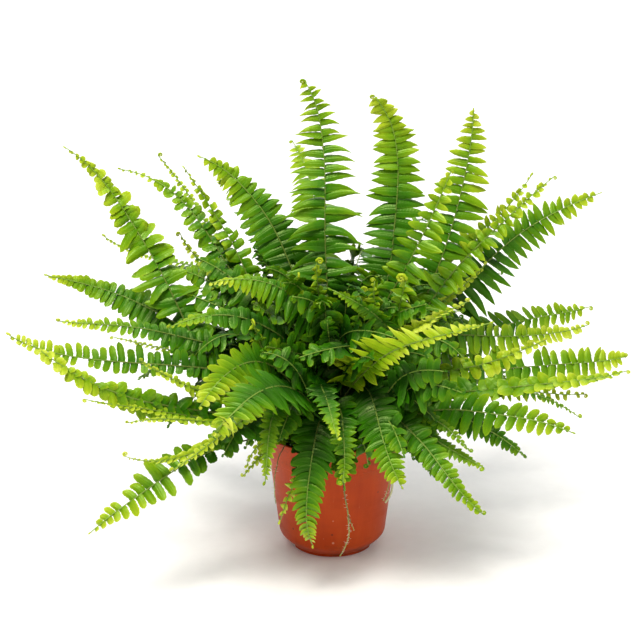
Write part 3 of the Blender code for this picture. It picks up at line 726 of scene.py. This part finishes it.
def leaflet_shares(length, growth):
    """Where one side's leaflets leave the midrib, as shares of its length: closer near the tip."""
    shares = []
    share = growth["bare"]
    while share < 0.975:
        shares.append(share)
        left = (1 - share) / (1 - growth["bare"])
        narrowing = min(1.0, left / growth["taper"])
        share += growth["spacing"] * MM * (growth["crowd"] + (1 - growth["crowd"]) * narrowing) / length
    return np.array(shares)


def blade_profile(blade, growth):
    """The leaflets' length over their greatest length, by their share of the way up the blade."""
    foot = 0.55 + 0.45 * np.clip(blade / 0.25, 0, 1)
    return foot * np.minimum(1.0, (1.01 - blade) / growth["taper"]) ** growth["point"]


def add_frond(shell, near, far, tip, width, look, growth, rng):
    """A whole frond: its midrib, both rows of leaflets and its rolled tip."""
    stem = Stem(frond_guide(near, far, tip), look, growth["bend"] * MM, rng)
    wild = growth["wild"]
    oldest, youngest = growth["young"]
    shares = np.linspace(0, 1, STALK_RINGS) ** 0.9
    radii = STALK_RADIUS + (STALK_TIP_RADIUS - STALK_RADIUS) * shares
    add_tube(shell, stem.at(shares)[0], radii, oldest + (youngest - oldest) * shares, stalk=1.0)
    shares = leaflet_shares(stem.length, growth)
    for sign in (1, -1):
        offset = 0.5 * growth["spacing"] * MM / stem.length if sign < 0 else 0.0
        at = shares + offset + rng.normal(0, SPREAD["place"] * wild, len(shares))
        at = at[at < LAST_LEAFLET]
        kept = rng.random(len(at)) > LOST_LEAFLETS * wild
        blade = (at - growth["bare"]) / (1 - growth["bare"])
        half_span = 0.5 * width * MM * blade_profile(blade, growth) * (1 - sign * growth["uneven"])
        lengths = half_span * rng.normal(1, SPREAD["length"] * wild, len(at))
        lengths = np.maximum(lengths, SHORTEST_LEAFLET)
        blade = np.clip(blade, 0, 1)
        breadths = np.gradient(at) * stem.length * growth["breadth"] * (1 - growth["slim"] * blade)
        breadths = np.clip(breadths, NARROWEST_LEAFLET, 0.80 * lengths + 1.2 * MM)
        ages = oldest + (youngest - oldest) * blade ** growth["ripen"]
        rows = (values[kept] for values in (at, lengths, breadths, ages))
        add_leaflets(shell, stem, sign, *rows, growth, rng)
    end, along, side, normal = (values[0] for values in stem.at(np.array([1.0])))
    inward = normal if rng.random() < 0.6 else side * rng.choice([-1.0, 1.0])
    add_coil(shell, end, along, inward, growth["coil"] * rng.uniform(0.75, 1.25) * MM, youngest)


def inner_frond(index, ring, rng):
    """One short frond of a ring, at an even bearing with chance reach and height."""
    count, *guide_ranges, width = ring
    bearing = math.radians(-90 + (2 * (index + rng.uniform(0.1, 0.9)) / count - 1) * 180)
    rise = rng.uniform(0, 1)
    guide = []
    for (inner, outer), (low, high) in guide_ranges:
        reach = outer + (inner - outer) * np.clip(rise + rng.uniform(-0.3, 0.3), 0, 1)
        height = low + (high - low) * np.clip(rise + rng.uniform(-0.2, 0.2), 0, 1)
        guide.append((*polar(reach, bearing), height))
    look = 90 + 45 * math.sin(bearing) + rng.uniform(-15, 15)
    # dark old greens, also painted shade in the heart of the plant
    age = rng.uniform(-0.20, 0.20)
    return grown(*guide, width * rng.uniform(0.85, 1.15), look, "old", young=(age, age + 0.38))


def add_fronds(material):
    """Each frond that has a solid stands for it; the young and inner ones have none."""
    for i, (name, frond) in enumerate(FRONDS.items()):
        shell = Shell()
        add_frond(shell, *frond, np.random.default_rng(FROND_SEED + i))
        piece = shell.piece(name.replace("frond_", "leaves_"), material, "leaf")
        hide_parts(name)
    for name, seed, fronds in (
        ("young_fronds", YOUNG_SEED, YOUNG_FRONDS),
        ("unrolling_fronds", UNROLLING_SEED, UNROLLING_FRONDS),
    ):
        shell = Shell()
        for i, frond in enumerate(fronds.values()):
            add_frond(shell, *frond, np.random.default_rng(seed + i))
        shell.piece(name, material, "leaf")
    for i, (name, ring) in enumerate(INNER_RINGS.items()):
        rng = np.random.default_rng(INNER_SEED + i)
        shell = Shell()
        for k in range(ring[0]):
            add_frond(shell, *inner_frond(k, ring, rng), rng)
        shell.piece(name, material, "leaf")


def wall_radius(height):
    """Outer radius of the pot's wall, without the step above the shoulder."""
    return POT_CORNER_RADIUS + POT_WALL_SLOPE * (height - POT_CORNER_Z)


def rounded(profile, arc_steps=5):
    """The profile's points, each (radius, height, rounding), with its corners rounded."""
    points = []
    for i, (radius, height, rounding) in enumerate(profile):
        corner = Vector((radius, height))
        if rounding == 0:
            points.append(tuple(corner))
            continue
        before = (Vector(profile[i - 1][:2]) - corner).normalized() * rounding
        after = (Vector(profile[i + 1][:2]) - corner).normalized() * rounding
        for k in range(arc_steps + 1):
            share = k / arc_steps
            points.append(tuple(corner + before * (1 - share) ** 2 + after * share**2))
    return points


def turned_form(profile, steps, height_at=None):
    """A closed form of revolution about Z. The profile starts and ends on the axis. Where it gives
    None for a height, height_at gives the height at x and y."""
    form = bmesh.new()
    rings = []
    for radius, height in profile:
        ring = []
        for k in range(steps if radius > 0 else 1):
            x, y = polar(radius, 2 * math.pi * k / steps)
            ring.append(form.verts.new((x, y, height_at(x, y) if height is None else height)))
        rings.append(ring)
    for inner, outer in zip(rings, rings[1:]):
        for k in range(steps):
            corners = [inner[k % len(inner)], inner[(k + 1) % len(inner)]]
            corners += [outer[(k + 1) % len(outer)], outer[k % len(outer)]]
            form.faces.new(list(dict.fromkeys(corners)))
    bmesh.ops.recalc_face_normals(form, faces=form.faces)
    return form


def cylinder(name, radius, depth, matrix):
    form = bmesh.new()
    bmesh.ops.create_cone(
        form, cap_ends=True, segments=40, radius1=radius, radius2=radius, depth=depth, matrix=matrix)
    return new_object(name, form_mesh(form, name))


def cut_away(item, cutters):
    """The object less its cutters, which are then removed."""
    for cutter in cutters:
        boolean = item.modifiers.new("Cut", "BOOLEAN")
        boolean.operation = "DIFFERENCE"
        boolean.solver = "EXACT"
        boolean.object = cutter
    graph = bpy.context.evaluated_depsgraph_get()
    mesh = bpy.data.meshes.new_from_object(item.evaluated_get(graph))
    item.modifiers.clear()
    item.data = mesh
    for cutter in cutters:
        bpy.data.objects.remove(cutter)


def pot_profile():
    """From the middle of the floor's top, up the inside, over the rim and down the outside."""
    floor_top = POT_FLOOR_Z + POT_FLOOR
    shoulder_radius = wall_radius(POT_SHOULDER_TOP_Z) + POT_SHOULDER_STEP
    rim_bottom = POT_HEIGHT - POT_RIM_DEPTH
    rim_wall = wall_radius(POT_HEIGHT) + POT_SHOULDER_STEP
    rim_radius = rim_wall + POT_RIM_PROUD
    foot_inner = POT_FOOT_RADIUS - POT_FOOT_WIDTH
    return rounded([
        (0.0, floor_top, 0),
        (POT_FOOT_RADIUS + 0.5 * MM, floor_top, 1.5 * MM),
        (POT_CORNER_RADIUS - POT_WALL, POT_CORNER_Z + 0.5 * MM, 3 * MM),
        (wall_radius(POT_SHOULDER_Z) - POT_WALL, POT_SHOULDER_Z, 0.4 * MM),
        (shoulder_radius - POT_WALL, POT_SHOULDER_TOP_Z, 0.4 * MM),
        (rim_wall - POT_WALL, POT_HEIGHT, 0.5 * MM),
        (rim_radius, POT_HEIGHT, 0.8 * MM),
        (rim_radius - 0.2 * MM, rim_bottom, 0.3 * MM),
        (wall_radius(rim_bottom) + POT_SHOULDER_STEP, rim_bottom, 0.3 * MM),
        (shoulder_radius, POT_SHOULDER_TOP_Z, 0.4 * MM),
        (wall_radius(POT_SHOULDER_Z), POT_SHOULDER_Z, 0.4 * MM),
        (POT_CORNER_RADIUS, POT_CORNER_Z, 3.5 * MM),
        (POT_FOOT_RADIUS + 0.9 * MM, POT_FOOT_STEP + 0.2 * MM, 0.3 * MM),
        (POT_FOOT_RADIUS + 0.1 * MM, POT_FOOT_STEP, 0.1 * MM),
        (POT_FOOT_RADIUS, 0.0, 0.5 * MM),
        (foot_inner, 0.0, 0.4 * MM),
        (foot_inner - 1.0 * MM, POT_FLOOR_Z, 0.4 * MM),
        (POT_BOSS_RADIUS + 2.0 * MM, POT_FLOOR_Z, 0.4 * MM),
        (POT_BOSS_RADIUS, 0.0, 0.4 * MM),
        (0.0, 0.0, 0),
    ])


def add_pot(material):
    cutters = []
    for i in range(DRAIN_HOLES):
        bearing = 2 * math.pi * i / DRAIN_HOLES + DRAIN_TURN
        matrix = Matrix.Translation((*polar(DRAIN_RING_RADIUS, bearing), POT_FLOOR_Z))
        cutters.append(cylinder(f"drain_{i}", DRAIN_RADIUS, 12 * MM, matrix))
    for i, degrees in enumerate(NOTCH_BEARINGS):
        bearing = math.radians(degrees)
        matrix = (
            Matrix.Translation((*polar(POT_FOOT_RADIUS, bearing), NOTCH_Z))
            @ Matrix.Rotation(bearing, 4, "Z")
            @ Matrix.Rotation(math.pi / 2, 4, "Y")
            @ Matrix.Diagonal((0.5, 1.0, 1.0, 1.0))
        )
        cutters.append(cylinder(f"notch_{i}", NOTCH_RADIUS, 9 * MM, matrix))
    form = turned_form(pot_profile(), POT_STEPS)
    item = add_piece("pot_body", form_mesh(form, "pot_body"))
    cut_away(item, cutters)
    item.data.shade_smooth()
    item.data.set_sharp_from_angle(angle=math.radians(POT_CREASE))
    item.data.materials.clear()
    item.data.materials.append(material)
    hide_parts("pot")


def lumpy(place, scale, depth=4):
    """A chance height from about -1 to 1, the same for the same place."""
    return noise.fractal(place * scale, 0.6, 2.1, depth, noise_basis="PERLIN_ORIGINAL")


def heap(radius, skirt, height_at, rings, spokes):
    """A closed heap with a rough top; skirt holds the (radius, height) of its sides, downwards."""
    top = [(radius * i / rings, None) for i in range(rings + 1)]
    return turned_form([*top, *skirt, (0.0, skirt[-1][1])], spokes, height_at)


def add_lump(form, place, size, rng, stretch=(1.0, 1.0, 0.75)):
    """A small irregular closed crumb."""
    turn = Matrix.Rotation(rng.uniform(0, 6.28), 3, "Z") @ Matrix.Rotation(rng.uniform(-0.7, 0.7), 3, "X")
    for vert in bmesh.ops.create_icosphere(form, subdivisions=1, radius=1.0)["verts"]:
        rough = 1 + rng.uniform(-0.22, 0.22)
        shaped = Vector(c * s for c, s in zip(vert.co, stretch)) * size * rough
        vert.co = turn @ shaped + Vector(place)


def chance_spot(rng, low, high):
    """A chance bearing and reach in a disc of radius 1, between two shares of its area."""
    return rng.uniform(0, 2 * math.pi), math.sqrt(rng.uniform(low, high))


def heap_piece(form, name, material):
    """The soil or the crown, smooth apart from its sharpest edges."""
    mesh = form_mesh(form, name)
    mesh.shade_smooth()
    mesh.set_sharp_from_angle(angle=math.radians(HEAP_CREASE))
    mesh.materials.append(material)
    return add_piece(name, mesh)


def add_soil(material):
    rng = np.random.default_rng(SOIL_SEED)
    inset = POT_WALL + GAP
    edge = wall_radius(SOIL_TOP_Z) + POT_SHOULDER_STEP - inset
    skirt = [
        (wall_radius(POT_SHOULDER_TOP_Z) + POT_SHOULDER_STEP - inset, POT_SHOULDER_TOP_Z + GAP),
        (wall_radius(POT_SHOULDER_Z) - inset, POT_SHOULDER_Z),
        (POT_CORNER_RADIUS - inset, POT_CORNER_Z + 0.7 * MM),
        (POT_FOOT_RADIUS, POT_FLOOR_Z + POT_FLOOR + GAP),
    ]

    def height_at(x, y):
        place = Vector((x, y, 0.0))
        return SOIL_TOP_Z + 1.6 * MM * lumpy(place, 90) + 1.3 * MM * lumpy(place, 420, 3) - 0.8 * MM

    form = heap(edge, skirt, height_at, rings=46, spokes=150)
    for _ in range(CRUMBS):
        bearing, reach = chance_spot(rng, 0.42, 0.97)
        size = rng.uniform(0.5, 1.7) * MM
        x, y = polar(min(reach * edge, edge - size * 1.3), bearing)
        add_lump(form, (x, y, height_at(x, y) + 0.3 * size), size, rng)
    item = heap_piece(form, "compost", material)
    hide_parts("soil")


def add_crown(material):
    """The scaly rootstock: a low mound set with old leaf bases and papery scales."""
    rng = np.random.default_rng(CROWN_SEED)
    skirt = [(CROWN_RADIUS, CROWN_TOP_Z - 3.0 * MM), (CROWN_RADIUS + 0.5 * MM, SOIL_TOP_Z + GAP)]

    def height_at(x, y):
        place = Vector((x, y, 0.3))
        return CROWN_TOP_Z + 1.5 * MM * lumpy(place, 130) + 0.7 * MM * lumpy(place, 500, 3) - 0.6 * MM

    form = heap(CROWN_TOP_RADIUS, skirt, height_at, rings=30, spokes=110)
    for _ in range(LEAF_BASES):
        bearing, reach = chance_spot(rng, 0.0, 0.95)
        x, y = polar(reach * CROWN_TOP_RADIUS, bearing)
        height = rng.uniform(4, 9) * MM
        radius = rng.uniform(0.9, 1.6) * MM
        lean = Vector((12 * x, 12 * y, 1)).to_track_quat("Z", "Y").to_matrix().to_4x4()
        matrix = Matrix.Translation((x, y, CROWN_TOP_Z - 1.0 * MM)) @ lean
        matrix = matrix @ Matrix.Translation((0, 0, height / 2))
        bmesh.ops.create_cone(
            form, cap_ends=True, segments=8, radius1=radius, radius2=0.7 * radius, depth=height,
            matrix=matrix)
    for _ in range(SCALES):
        bearing, reach = chance_spot(rng, 0.0, 1.0)
        place = (*polar(reach * CROWN_TOP_RADIUS, bearing), CROWN_TOP_Z + rng.uniform(0, 2) * MM)
        add_lump(form, place, rng.uniform(1.0, 2.2) * MM, rng, stretch=(0.35, 1.3, 0.12))
    item = heap_piece(form, "rootstock", material)
    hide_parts("crown")


def add_runner(shell, points, radius, hair_from, hair_count, hair_length, rng):
    """A thin wiry stem with fine white root hairs along its lower part."""
    shares = np.linspace(0, 1, RUNNER_RINGS)
    wander = np.stack([np.sin(shares * 31 + 1), np.sin(shares * 23), np.sin(shares * 37 + 2)], 1)
    places = through_points(np.array(points) * MM, shares)
    places = places + wander * (0.35 * MM * np.sin(math.pi * shares))[:, None]
    radii = radius * MM * (1 - 0.35 * shares) * (1 + 0.12 * np.sin(shares * 90))
    add_tube(shell, places, radii, shares, stalk=0.0)
    outward = unit(places[-1] * (1.0, 1.0, 0.0))
    for _ in range(hair_count):
        start = between(rng.uniform(hair_from, 1.0), shares, places)
        towards = rng.normal(0, 1, 3) + outward * 0.5
        towards = unit(towards - outward * min(0.0, towards @ outward))
        length = hair_length * rng.uniform(0.4, 1.2) * MM
        bend = rng.normal(0, 0.35, 3)
        along = np.linspace(0, 1, HAIR_RINGS)[:, None]
        hair = start + (towards * along + bend * along**2 * 0.5) * length
        radii = np.linspace(0.14, 0.06, HAIR_RINGS) * MM
        add_tube(shell, hair, radii, np.ones(HAIR_RINGS), stalk=1.0)


def add_runners(material):
    rng = np.random.default_rng(RUNNER_SEED)
    for name, stems in RUNNERS.items():
        shell = Shell()
        for stem in stems:
            add_runner(shell, *stem, rng)
        piece = shell.piece(name.replace("runner_", "stolon_"), material, "runner_stem")
        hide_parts(name)
    shell = Shell()
    places = through_points(np.array(STRAW_GUIDE) * MM, np.linspace(0, 1, STRAW_RINGS))
    steady = np.ones(STRAW_RINGS)
    add_tube(shell, places, STRAW_RADIUS * steady, 0.9 * steady, stalk=0.45)
    shell.piece("straw_stem", material, "runner_stem")


class Recipe:
    """One material under construction: a Principled shader and short ways to feed it."""

    def __init__(self, name):
        self.material = bpy.data.materials.new(name)
        self.material.use_nodes = True
        self.tree = self.material.node_tree
        self.shader = self.tree.nodes["Principled BSDF"]

    def node(self, kind, inputs=(), **settings):
        """A node with these settings and, by their names or numbers, these inputs."""
        made = self.tree.nodes.new(kind)
        for label, value in settings.items():
            setattr(made, label, value)
        for label, value in inputs:
            self.feed(made.inputs[label], value)
        return made

    def feed(self, socket, value):
        """Links another socket, or sets a plain value."""
        if isinstance(value, bpy.types.NodeSocket):
            self.tree.links.new(value, socket)
        elif isinstance(value, tuple) and len(value) == 3 and len(socket.default_value) == 4:
            socket.default_value = (*value, 1.0)
        else:
            socket.default_value = value

    def math(self, operation, *values):
        return self.node("ShaderNodeMath", enumerate(values), operation=operation).outputs[0]

    def plus(self, first, second):
        return self.math("ADD", first, second)

    def times(self, first, second):
        return self.math("MULTIPLY", first, second)

    def scaled(self, value, low, high, to_low=0.0, to_high=1.0):
        """value moved from the range low..high to to_low..to_high, and kept inside it."""
        return self.node("ShaderNodeMapRange", enumerate((value, low, high, to_low, to_high))).outputs[0]

    def blend(self, share, first, second, kind="MIX"):
        inputs = ((0, share), (6, first), (7, second))
        return self.node("ShaderNodeMix", inputs, data_type="RGBA", blend_type=kind).outputs[2]

    def ramp(self, value, stops):
        made = self.node("ShaderNodeValToRGB", ((0, value),))
        elements = made.color_ramp.elements
        while len(elements) < len(stops):
            elements.new(0.5)
        for element, (position, colour) in zip(elements, stops):
            element.position = position
            element.color = (*colour, 1.0)
        return made.outputs[0]

    def parts(self, vector):
        return self.node("ShaderNodeSeparateXYZ", ((0, vector),)).outputs[:3]

    def attribute(self, label, output="Vector"):
        """The values of that name that each piece carries."""
        return self.node("ShaderNodeAttribute", attribute_name=label).outputs[output]

    def place(self, stretch=(1.0, 1.0, 1.0)):
        """The spot in the plant's own frame, in metres, stretched if asked."""
        spot = self.node("ShaderNodeTexCoord").outputs["Object"]
        return self.node("ShaderNodeMapping", ((0, spot), (3, stretch))).outputs[0]

    def noise(self, spot, scale, detail=3.0, rough=0.55):
        inputs = (("Vector", spot), ("Scale", scale), ("Detail", detail), ("Roughness", rough))
        return self.node("ShaderNodeTexNoise", inputs).outputs[0]

    def bump(self, height, distance, strength):
        inputs = (("Height", height), ("Distance", distance), ("Strength", strength))
        self.feed(self.shader.inputs["Normal"], self.node("ShaderNodeBump", inputs).outputs[0])

    def finished(self, **values):
        """The material, with these inputs of its shader."""
        for label, value in values.items():
            self.feed(self.shader.inputs[label.replace("_", " ")], value)
        return self.material


def leaf_material():
    """Green by age, with painted shade towards the midrib, pale veins, margins and undersides."""
    m = Recipe("leaf")
    u, v, age = m.parts(m.attribute("leaf"))
    shade, stalk, _ = m.parts(m.attribute("tone"))
    under = m.attribute("under", "Fac")
    spot = m.place()
    across = m.math("ABSOLUTE", v)
    mottle = m.noise(spot, 38, 4.0)
    grain = m.noise(spot, 900, 2.0)
    ripe_and_painted_shade = m.plus(age, m.times(shade, 0.035))
    ripe_and_painted_shade = m.plus(ripe_and_painted_shade, m.scaled(mottle, 0.3, 0.7, -0.10, 0.10))
    # painted shade: each leaflet darker at its foot by the midrib and lighter towards its tip
    ripe_and_painted_shade = m.plus(ripe_and_painted_shade, m.scaled(u, 0.0, 1.0, -0.15, 0.19))
    ripe_and_painted_shade = m.plus(ripe_and_painted_shade, m.scaled(across, 0.55, 1.0, 0.0, 0.12))
    green = m.ramp(ripe_and_painted_shade, LEAF_AGES)
    slant = m.math("SUBTRACT", m.times(u, 11.0), m.times(across, 0.9))
    vein = m.scaled(m.math("SINE", m.times(slant, 2 * math.pi)), 0.6, 1.0)
    midrib = m.scaled(across, 0.16, 0.0)
    pale = m.blend(1.0, green, PALE_VEIN, "MULTIPLY")
    green = m.blend(m.times(vein, 0.22), green, pale)
    green = m.blend(m.times(midrib, 0.45), green, pale)
    below = m.blend(1.0, green, PALE_UNDERSIDE, "MULTIPLY")
    green = m.blend(m.times(under, 0.75), green, below)
    stem = m.blend(m.scaled(grain, 0.3, 0.7, 0.0, 0.25), m.ramp(u, STALKS), STALK_FUZZ)
    relief = m.plus(m.times(vein, -0.5), m.times(midrib, -1.0))
    m.bump(m.plus(relief, m.times(grain, 0.5)), 0.25 * MM, 0.55)
    return m.finished(
        Base_Color=m.blend(stalk, green, stem),
        Roughness=m.scaled(m.plus(grain, m.times(under, 0.5)), 0.3, 1.1, 0.27, 0.56),
        Specular_IOR_Level=0.45,
        Specular_Tint=LEAF_SHINE,
    )


def plastic_material():
    """Thin terracotta-coloured plastic: faint mould streaks, dirt low down that is also painted shade,
    soil splashes high up that are also painted leaf shadow, specks and pale scuffs.
    """
    m = Recipe("terracotta_plastic")
    spot = m.place()
    height = m.parts(spot)[2]
    cloud = m.noise(spot, 30, 4.0)
    streak = m.noise(m.place((160, 160, 7)), 1.0)
    # dirt smears, darker towards the bottom, also painted shade by the hanging fronds
    smear_and_shade = m.scaled(m.noise(m.place((22, 22, 60)), 1.0, 5.0, 0.65), 0.50, 0.68)
    low_down = m.scaled(height, 26 * MM, 4 * MM, 0.15, 1.0)
    # soil splashes high on the pot, also painted shadow of the leaves above
    splash_and_leaf_shadow = m.scaled(m.noise(spot, 120, 4.0, 0.7), 0.50, 0.64)
    high_up = m.scaled(height, 72 * MM, 104 * MM)
    cells = m.node("ShaderNodeTexVoronoi", (("Vector", spot), ("Scale", 120)), feature="F1").outputs
    chance = m.parts(cells["Color"])[0]
    speck = m.scaled(cells["Distance"], 0.16, 0.09)
    scuff = m.scaled(m.noise(m.place((500, 500, 60)), 1.0, 4.0, 0.6), 0.66, 0.76)
    colour = m.ramp(m.plus(m.times(cloud, 0.6), m.times(streak, 0.4)), PLASTIC)
    for mask, strength, stain in (
        (m.times(smear_and_shade, low_down), 0.72, DIRT_AND_SHADE),
        (m.times(splash_and_leaf_shadow, high_up), 0.55, SOIL_SPLASH_AND_LEAF_SHADOW),
        (m.times(speck, m.math("GREATER_THAN", chance, 0.78)), 0.7, DARK_SPECK),
        (m.times(speck, m.math("LESS_THAN", chance, 0.10)), 0.55, PALE_SPECK),
        (scuff, 0.30, SCUFF),
    ):
        colour = m.blend(m.times(mask, strength), colour, stain)
    m.bump(m.plus(m.times(m.noise(spot, 1400, 2.0), 0.4), m.times(streak, 0.6)), 0.12 * MM, 0.35)
    rough = m.plus(m.scaled(cloud, 0.3, 0.7, 0.36, 0.50), m.times(scuff, 0.15))
    rough = m.plus(rough, m.times(smear_and_shade, 0.12))
    return m.finished(Base_Color=colour, Roughness=rough, Specular_IOR_Level=0.18)


def crumbly_material(name, patch, stretch, colours, fibres, fibre_colour, roughness, relief):
    """Dull brown matter with fibres. patch holds the scale, detail and roughness of its patches,
    fibres where these start and how strongly they show, and relief its height and strength."""
    m = Recipe(name)
    patches = m.noise(m.place(), *patch)
    fibre = m.noise(m.place(stretch), 1.0, 4.0)
    share = m.scaled(fibre, fibres[0], 0.75, 0.0, fibres[1])
    m.bump(m.plus(patches, fibre), *relief)
    return m.finished(
        Base_Color=m.blend(share, m.ramp(patches, colours), fibre_colour),
        Roughness=m.scaled(patches, 0.3, 0.7, *roughness),
    )


def compost_material():
    return crumbly_material(
        "potting_compost", (260, 5.0, 0.7), (900, 180, 300), COMPOST, (0.62, 0.6), COMPOST_FIBRE,
        (0.85, 0.98), (0.6 * MM, 0.8))


def rootstock_material():
    return crumbly_material(
        "crown_rhizome", (150, 5.0, 0.65), (300, 300, 1200), ROOTSTOCK, (0.55, 0.5), ROOTSTOCK_FIBRE,
        (0.75, 0.95), (0.5 * MM, 0.7))


def runner_material():
    """Wiry stem from green-brown to straw, with white root hairs."""
    m = Recipe("runner_stem")
    age = m.parts(m.attribute("leaf"))[2]
    hair = m.parts(m.attribute("tone"))[1]
    patch = m.noise(m.place(), 420, 4.0, 0.6)
    stem = m.ramp(m.plus(age, m.scaled(patch, 0.3, 0.7, -0.3, 0.3)), RUNNER)
    m.bump(patch, 0.2 * MM, 0.5)
    return m.finished(
        Base_Color=m.blend(hair, stem, ROOT_HAIR), Roughness=m.scaled(patch, 0.3, 0.7, 0.5, 0.75))


def floor_material():
    m = Recipe("studio_floor")
    grain = m.noise(m.place(), 60, 2.0)
    return m.finished(
        Base_Color=m.blend(m.scaled(grain, 0.4, 0.6), (0.93, 0.93, 0.93), (0.95, 0.95, 0.95)),
        Roughness=0.9,
        Specular_IOR_Level=0.1,
        Emission_Color=WHITE,
        Emission_Strength=FLOOR_GLOW,
    )


def add_floor():
    form = bmesh.new()
    bmesh.ops.create_grid(form, x_segments=1, y_segments=1, size=FLOOR_REACH)
    mesh = form_mesh(form, "studio_floor")
    mesh.materials.append(floor_material())
    floor = new_object("studio_floor", mesh)
    floor.location.z = -0.1 * MM


def aimed_object(name, data, place, target):
    """An object of the studio that looks from its place at the target."""
    item = new_object(name, data)
    item.location = place
    item.rotation_euler = (Vector(target) - Vector(place)).to_track_quat("-Z", "Y").to_euler()
    return item


def add_studio():
    """The floor, the world and the soft square lamps."""
    add_floor()
    world = bpy.data.worlds.new("studio")
    world.use_nodes = True
    background = world.node_tree.nodes["Background"]
    background.inputs["Color"].default_value = (*WHITE, 1.0)
    background.inputs["Strength"].default_value = WORLD_STRENGTH
    bpy.context.scene.world = world
    for name, (place, target, side, watts, colour) in LAMPS.items():
        data = bpy.data.lights.new(name, "AREA")
        data.size = side
        data.energy = watts
        data.color = colour
        aimed_object(name, data, place, target)
    bpy.context.scene.view_settings.view_transform = "Standard"


def add_camera():
    tilt = math.radians(CAMERA_ELEVATION)
    data = bpy.data.cameras.new("camera")
    data.lens = CAMERA_LENS
    data.sensor_width = 36
    data.clip_start = 0.05
    place = Vector(CAMERA_TARGET) + CAMERA_DISTANCE * Vector((0, -math.cos(tilt), math.sin(tilt)))
    bpy.context.scene.camera = aimed_object("camera", data, place, CAMERA_TARGET)


add_camera()
add_studio()
add_fronds(leaf_material())
add_pot(plastic_material())
add_soil(compost_material())
add_crown(rootstock_material())
add_runners(runner_material())
